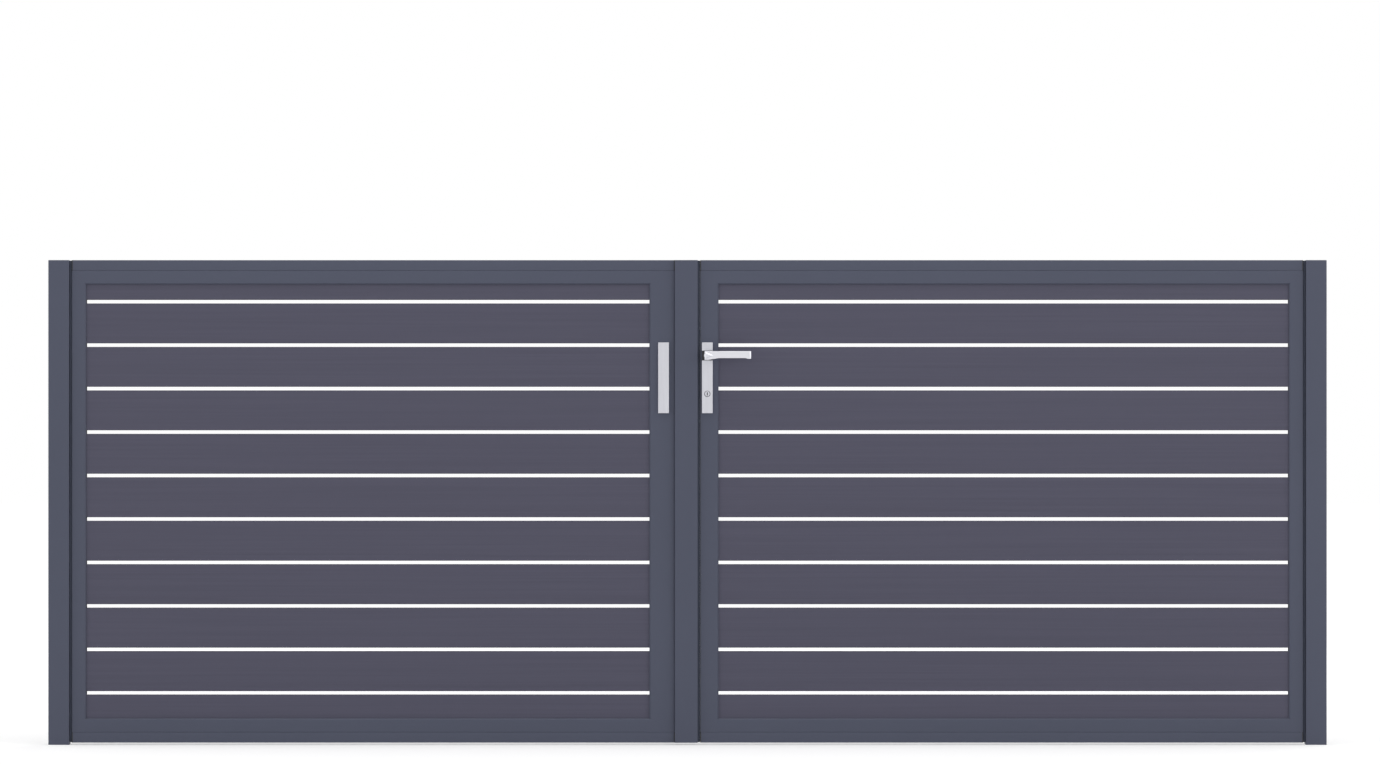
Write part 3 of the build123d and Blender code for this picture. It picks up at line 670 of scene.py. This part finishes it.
class GATE_OT_stage(Operator):
    """Make the pale floor, the soft light, the white surroundings and the camera"""

    bl_idname = "gate.stage"
    bl_label = "Stage"

    def execute(self, context):
        settings = context.scene.gate_stage
        scene = context.scene
        scene.view_settings.view_transform = "Standard"
        self.make_floor(settings)
        self.make_world(scene, settings.sky)
        middle = (settings.view_x, 0, settings.aim_z)
        overhead = (settings.view_x, settings.top_y, settings.top_z)
        below = (settings.view_x, settings.top_y, 0)
        add_softbox("key_softbox", settings.key_place, middle, settings.side_size, settings.key_power)
        add_softbox("fill_softbox", settings.fill_place, middle, settings.side_size, settings.fill_power)
        add_softbox("top_softbox", overhead, below, settings.top_size, settings.top_power)
        add_softbox("rear_softbox", settings.rear_place, middle, settings.rear_size, settings.rear_power)
        camera = bpy.data.cameras.new("camera")
        camera.sensor_width = SENSOR_WIDTH
        camera.lens = camera.sensor_width * settings.distance / settings.view_width
        camera.clip_end = SIGHT_END
        eye = bpy.data.objects.new("camera", camera)
        leaf_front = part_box("left_top_rail")[0].y
        eye.location = (settings.view_x, leaf_front - settings.distance, settings.view_z)
        eye.rotation_euler = (math.pi / 2, 0, 0)
        scene.collection.objects.link(eye)
        scene.camera = eye
        return {"FINISHED"}

    def make_floor(self, settings):
        """Wide pale floor that keeps the shadow near the gate and fades to white farther off."""
        bm = bmesh.new()
        bmesh.ops.create_circle(bm, segments=FLOOR_SIDES, radius=settings.floor_radius, cap_ends=True)
        mesh = bpy.data.meshes.new("floor")
        bm.to_mesh(mesh)
        bm.free()
        floor = bpy.data.objects.new("floor", mesh)
        bpy.context.scene.collection.objects.link(floor)
        material, shader = new_material("pale_floor")
        shader.inputs["Base Color"].default_value = (*settings.floor_colour, 1)
        shader.inputs["Roughness"].default_value = 0.9
        shader.inputs["Specular IOR Level"].default_value = 0.0
        tree = material.node_tree
        place = tree.nodes.new("ShaderNodeTexCoord")
        middle = tree.nodes.new("ShaderNodeMapping")
        middle.inputs["Location"].default_value = (-settings.view_x, 0, 0)
        reach = tree.nodes.new("ShaderNodeVectorMath")
        reach.operation = "LENGTH"
        fade = tree.nodes.new("ShaderNodeMapRange")
        fade.inputs["From Min"].default_value = settings.near_reach
        fade.inputs["From Max"].default_value = settings.far_reach
        fade.inputs["To Min"].default_value = settings.near_glow
        fade.inputs["To Max"].default_value = settings.far_glow
        glow = tree.nodes.new("ShaderNodeMath")
        glow.operation = "MULTIPLY"
        tree.links.new(place.outputs["Object"], middle.inputs["Vector"])
        tree.links.new(middle.outputs["Vector"], reach.inputs[0])
        tree.links.new(reach.outputs["Value"], fade.inputs["Value"])
        tree.links.new(fade.outputs["Result"], glow.inputs[0])
        tree.links.new(seen_directly(tree), glow.inputs[1])
        shader.inputs["Emission Color"].default_value = (1, 1, 1, 1)
        tree.links.new(glow.outputs[0], shader.inputs["Emission Strength"])
        mesh.materials.append(material)

    def make_world(self, scene, level):
        """White surroundings, dimmer for the light that they give."""
        world = bpy.data.worlds.new("surroundings")
        scene.world = world
        world.use_nodes = True
        tree = world.node_tree
        light = tree.nodes["Background"]
        light.inputs["Color"].default_value = (1, 1, 1, 1)
        light.inputs["Strength"].default_value = level
        white = tree.nodes.new("ShaderNodeBackground")
        white.inputs["Color"].default_value = (1, 1, 1, 1)
        white.inputs["Strength"].default_value = 1.0
        mix = tree.nodes.new("ShaderNodeMixShader")
        tree.links.new(seen_directly(tree), mix.inputs["Fac"])
        tree.links.new(light.outputs["Background"], mix.inputs[1])
        tree.links.new(white.outputs["Background"], mix.inputs[2])
        tree.links.new(mix.outputs["Shader"], tree.nodes["World Output"].inputs["Surface"])


class GATE_PT_panel(Panel):
    """Sidebar panel with the steps in their order"""

    bl_idname = "GATE_PT_panel"
    bl_label = "Double swing gate"
    bl_space_type = "VIEW_3D"
    bl_region_type = "UI"
    bl_category = "Gate"

    def draw(self, context):
        column = self.layout.column(align=True)
        for step in STEPS:
            column.operator(step.bl_idname)


SETTINGS = {
    "gate_finishes": FinishSettings,
    "gate_seals": SealSettings,
    "gate_screws": ScrewSettings,
    "gate_cylinder": CylinderSettings,
    "gate_stage": StageSettings,
}
STEPS = (
    GATE_OT_finishes,
    GATE_OT_seals,
    GATE_OT_hinge_screws,
    GATE_OT_lock_screws,
    GATE_OT_cylinder_details,
    GATE_OT_stage,
)


def register():
    for settings in SETTINGS.values():
        bpy.utils.register_class(settings)
    for step in STEPS:
        bpy.utils.register_class(step)
    bpy.utils.register_class(GATE_PT_panel)
    for name, settings in SETTINGS.items():
        setattr(bpy.types.Scene, name, PointerProperty(type=settings))


def unregister():
    for name in SETTINGS:
        delattr(bpy.types.Scene, name)
    bpy.utils.unregister_class(GATE_PT_panel)
    for step in reversed(STEPS):
        bpy.utils.unregister_class(step)
    for settings in reversed(SETTINGS.values()):
        bpy.utils.unregister_class(settings)


def main():
    register()
    bpy.ops.gate.finishes()
    bpy.ops.gate.seals()
    bpy.ops.gate.hinge_screws()
    bpy.ops.gate.lock_screws()
    bpy.ops.gate.cylinder_details()
    bpy.ops.gate.stage()


if __name__ == "__main__":
    main()
